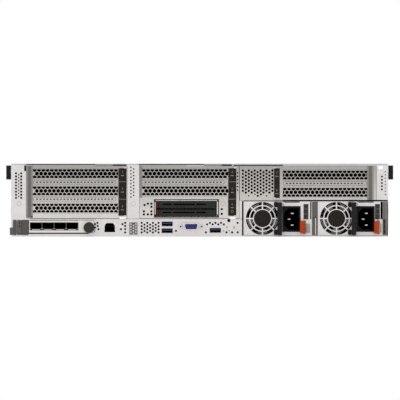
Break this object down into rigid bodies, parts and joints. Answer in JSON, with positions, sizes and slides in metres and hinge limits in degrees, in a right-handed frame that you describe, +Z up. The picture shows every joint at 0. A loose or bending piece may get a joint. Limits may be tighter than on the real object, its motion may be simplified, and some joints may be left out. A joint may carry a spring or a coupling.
{
  "type": "2u rack server",
  "caption": "Low flat steel server case seen from its service side, with vented slot covers, plug-in power supplies, ports, drives and a sliding lid.",
  "frame": {"origin": "centre of the base's underside, on the surface that the server rests on", "axes": "+Z up; -Y towards the rear panel with the ports; +X to the right of someone who looks at the rear panel"},
  "size_m": [0.4826, 0.798, 0.0865],
  "materials": {
    "zinc_steel": "zinc-plated sheet steel, satin",
    "bright_steel": "nickel-plated steel",
    "dark_metal": "blackened screw",
    "aluminium": "extruded fins",
    "black_plastic": "moulded, fine texture",
    "blue_plastic": "moulded",
    "orange_plastic": "moulded touch point",
    "circuit_board": "solder mask"
  },
  "bodies": {
    "chassis": {"chassis_base": "zinc_steel", "rail_nuts": "zinc_steel", "rear_panel": "zinc_steel", "riser_1_cage": "zinc_steel", "riser_2_cage": "zinc_steel", "riser_3_cage": "zinc_steel", "riser_1_slot_covers": "zinc_steel", "riser_2_slot_covers": "zinc_steel", "riser_3_slot_covers": "zinc_steel", "rear_drive_cage": "zinc_steel", "network_card": "bright_steel", "lan_port": "zinc_steel", "usb_ports": "zinc_steel", "video_port": "blue_plastic", "system_board": "circuit_board", "processor_heatsinks": "aluminium", "memory_modules": "circuit_board", "air_baffle": "black_plastic", "fan_cage": "zinc_steel", "fan_frames": "black_plastic", "drive_cage": "zinc_steel", "drive_backplane": "circuit_board", "bay_fillers": "black_plastic", "left_rack_ear": "black_plastic", "right_rack_ear": "black_plastic"},
    "top_cover": {"top_cover": "zinc_steel"},
    "cover_latch": {"cover_latch": "blue_plastic"},
    "network_card_knob": {"network_card_knob": "dark_metal"},
    "power_button": {"power_button": "bright_steel"},
    "left_ear_lever": {"left_ear_lever": "black_plastic"},
    "right_ear_lever": {"right_ear_lever": "black_plastic"},
    "slot_retainer_1": {"slot_retainer_1": "black_plastic"},
    "slot_retainer_2": {"slot_retainer_2": "black_plastic"},
    "slot_retainer_3": {"slot_retainer_3": "black_plastic"},
    "rear_drive_1": {"rear_drive_1": "black_plastic"},
    "rear_drive_1_handle": {"rear_drive_1_handle": "black_plastic"},
    "rear_drive_2": {"rear_drive_2": "black_plastic"},
    "rear_drive_2_handle": {"rear_drive_2_handle": "black_plastic"},
    "fan_rotor_1": {"fan_rotor_1": "black_plastic"},
    "fan_rotor_2": {"fan_rotor_2": "black_plastic"},
    "fan_rotor_3": {"fan_rotor_3": "black_plastic"},
    "fan_rotor_4": {"fan_rotor_4": "black_plastic"},
    "drive_tray_1": {"drive_tray_1": "black_plastic"},
    "drive_tray_2": {"drive_tray_2": "black_plastic"},
    "drive_tray_3": {"drive_tray_3": "black_plastic"},
    "drive_tray_4": {"drive_tray_4": "black_plastic"},
    "drive_tray_5": {"drive_tray_5": "black_plastic"},
    "drive_tray_6": {"drive_tray_6": "black_plastic"},
    "drive_tray_7": {"drive_tray_7": "black_plastic"},
    "drive_tray_8": {"drive_tray_8": "black_plastic"},
    "psu_1": {"psu_1_case": "zinc_steel", "psu_1_handle": "black_plastic", "psu_1_inlet": "black_plastic"},
    "psu_1_fan_rotor": {"psu_1_fan_rotor": "black_plastic"},
    "psu_1_release": {"psu_1_release": "orange_plastic"},
    "psu_2": {"psu_2_case": "zinc_steel", "psu_2_handle": "black_plastic", "psu_2_inlet": "black_plastic"},
    "psu_2_fan_rotor": {"psu_2_fan_rotor": "black_plastic"},
    "psu_2_release": {"psu_2_release": "orange_plastic"}
  },
  "joints": [
    {"name": "cover_slide", "type": "slide", "parent": "chassis", "child": "top_cover", "axis": [0, -1, 0], "range_m": [0, 0.012]},
    {"name": "cover_latch_lift", "type": "hinge", "parent": "top_cover", "child": "cover_latch", "pos_m": [0, -0.05, 0.0843], "axis": [1, 0, 0], "range_deg": [0, 90]},
    {"name": "slot_retainer_1_swing", "type": "hinge", "parent": "chassis", "child": "slot_retainer_1", "pos_m": [-0.0874, -0.3824, 0.0528], "axis": [0, 0, 1], "range_deg": [0, 85]},
    {"name": "slot_retainer_2_swing", "type": "hinge", "parent": "chassis", "child": "slot_retainer_2", "pos_m": [0.0421, -0.3824, 0.0528], "axis": [0, 0, 1], "range_deg": [0, 85]},
    {"name": "slot_retainer_3_swing", "type": "hinge", "parent": "chassis", "child": "slot_retainer_3", "pos_m": [0.0883, -0.3824, 0.06335], "axis": [0, 0, -1], "range_deg": [0, 85]},
    {"name": "rear_drive_1_slide", "type": "slide", "parent": "chassis", "child": "rear_drive_1", "axis": [0, -1, 0], "range_m": [0, 0.095]},
    {"name": "rear_drive_1_handle_swing", "type": "hinge", "parent": "rear_drive_1", "child": "rear_drive_1_handle", "pos_m": [0.018, -0.384, 0.0282], "axis": [0, 0, 1], "range_deg": [0, 60]},
    {"name": "rear_drive_2_slide", "type": "slide", "parent": "chassis", "child": "rear_drive_2", "axis": [0, -1, 0], "range_m": [0, 0.095]},
    {"name": "rear_drive_2_handle_swing", "type": "hinge", "parent": "rear_drive_2", "child": "rear_drive_2_handle", "pos_m": [0.018, -0.384, 0.0378], "axis": [0, 0, 1], "range_deg": [0, 60]},
    {"name": "network_card_knob_turn", "type": "hinge", "parent": "chassis", "child": "network_card_knob", "pos_m": [-0.1305, -0.382, 0.0108], "axis": [0, -1, 0], "continuous": true},
    {"name": "fan_rotor_1_spin", "type": "hinge", "parent": "chassis", "child": "fan_rotor_1", "pos_m": [-0.126, 0.064, 0.043], "axis": [0, -1, 0], "continuous": true},
    {"name": "fan_rotor_2_spin", "type": "hinge", "parent": "chassis", "child": "fan_rotor_2", "pos_m": [-0.042, 0.064, 0.043], "axis": [0, -1, 0], "continuous": true},
    {"name": "fan_rotor_3_spin", "type": "hinge", "parent": "chassis", "child": "fan_rotor_3", "pos_m": [0.042, 0.064, 0.043], "axis": [0, -1, 0], "continuous": true},
    {"name": "fan_rotor_4_spin", "type": "hinge", "parent": "chassis", "child": "fan_rotor_4", "pos_m": [0.126, 0.064, 0.043], "axis": [0, -1, 0], "continuous": true},
    {"name": "drive_tray_1_slide", "type": "slide", "parent": "chassis", "child": "drive_tray_1", "axis": [0, 1, 0], "range_m": [0, 0.1]},
    {"name": "drive_tray_2_slide", "type": "slide", "parent": "chassis", "child": "drive_tray_2", "axis": [0, 1, 0], "range_m": [0, 0.1]},
    {"name": "drive_tray_3_slide", "type": "slide", "parent": "chassis", "child": "drive_tray_3", "axis": [0, 1, 0], "range_m": [0, 0.1]},
    {"name": "drive_tray_4_slide", "type": "slide", "parent": "chassis", "child": "drive_tray_4", "axis": [0, 1, 0], "range_m": [0, 0.1]},
    {"name": "drive_tray_5_slide", "type": "slide", "parent": "chassis", "child": "drive_tray_5", "axis": [0, 1, 0], "range_m": [0, 0.1]},
    {"name": "drive_tray_6_slide", "type": "slide", "parent": "chassis", "child": "drive_tray_6", "axis": [0, 1, 0], "range_m": [0, 0.1]},
    {"name": "drive_tray_7_slide", "type": "slide", "parent": "chassis", "child": "drive_tray_7", "axis": [0, 1, 0], "range_m": [0, 0.1]},
    {"name": "drive_tray_8_slide", "type": "slide", "parent": "chassis", "child": "drive_tray_8", "axis": [0, 1, 0], "range_m": [0, 0.1]},
    {"name": "psu_1_slide", "type": "slide", "parent": "chassis", "child": "psu_1", "axis": [0, -1, 0], "range_m": [0, 0.175]},
    {"name": "psu_1_fan_spin", "type": "hinge", "parent": "psu_1", "child": "psu_1_fan_rotor", "pos_m": [0.0741, -0.382, 0.0216], "axis": [0, -1, 0], "continuous": true},
    {"name": "psu_1_release_press", "type": "hinge", "parent": "psu_1", "child": "psu_1_release", "pos_m": [0.1236, -0.374, 0.01125], "axis": [0, 0, -1], "range_deg": [0, 3.5], "stiffness_Nm_per_rad": 0.8},
    {"name": "psu_2_slide", "type": "slide", "parent": "chassis", "child": "psu_2", "axis": [0, -1, 0], "range_m": [0, 0.175]},
    {"name": "psu_2_fan_spin", "type": "hinge", "parent": "psu_2", "child": "psu_2_fan_rotor", "pos_m": [0.1615, -0.382, 0.0216], "axis": [0, -1, 0], "continuous": true},
    {"name": "psu_2_release_press", "type": "hinge", "parent": "psu_2", "child": "psu_2_release", "pos_m": [0.211, -0.374, 0.01125], "axis": [0, 0, -1], "range_deg": [0, 3.5], "stiffness_Nm_per_rad": 0.8},
    {"name": "left_ear_lever_swing", "type": "hinge", "parent": "chassis", "child": "left_ear_lever", "pos_m": [-0.2242, 0.389, 0.076], "axis": [0, 0, -1], "range_deg": [0, 75]},
    {"name": "right_ear_lever_swing", "type": "hinge", "parent": "chassis", "child": "right_ear_lever", "pos_m": [0.2242, 0.389, 0.076], "axis": [0, 0, 1], "range_deg": [0, 75]},
    {"name": "power_button_press", "type": "slide", "parent": "chassis", "child": "power_button", "axis": [0, -1, 0], "range_m": [0, 0.0015], "stiffness_N_per_m": 300}
  ],
  "couplings": [
    {"joint": "cover_latch_lift", "follows": "cover_slide", "rad_per_m": 130.77}
  ]
}
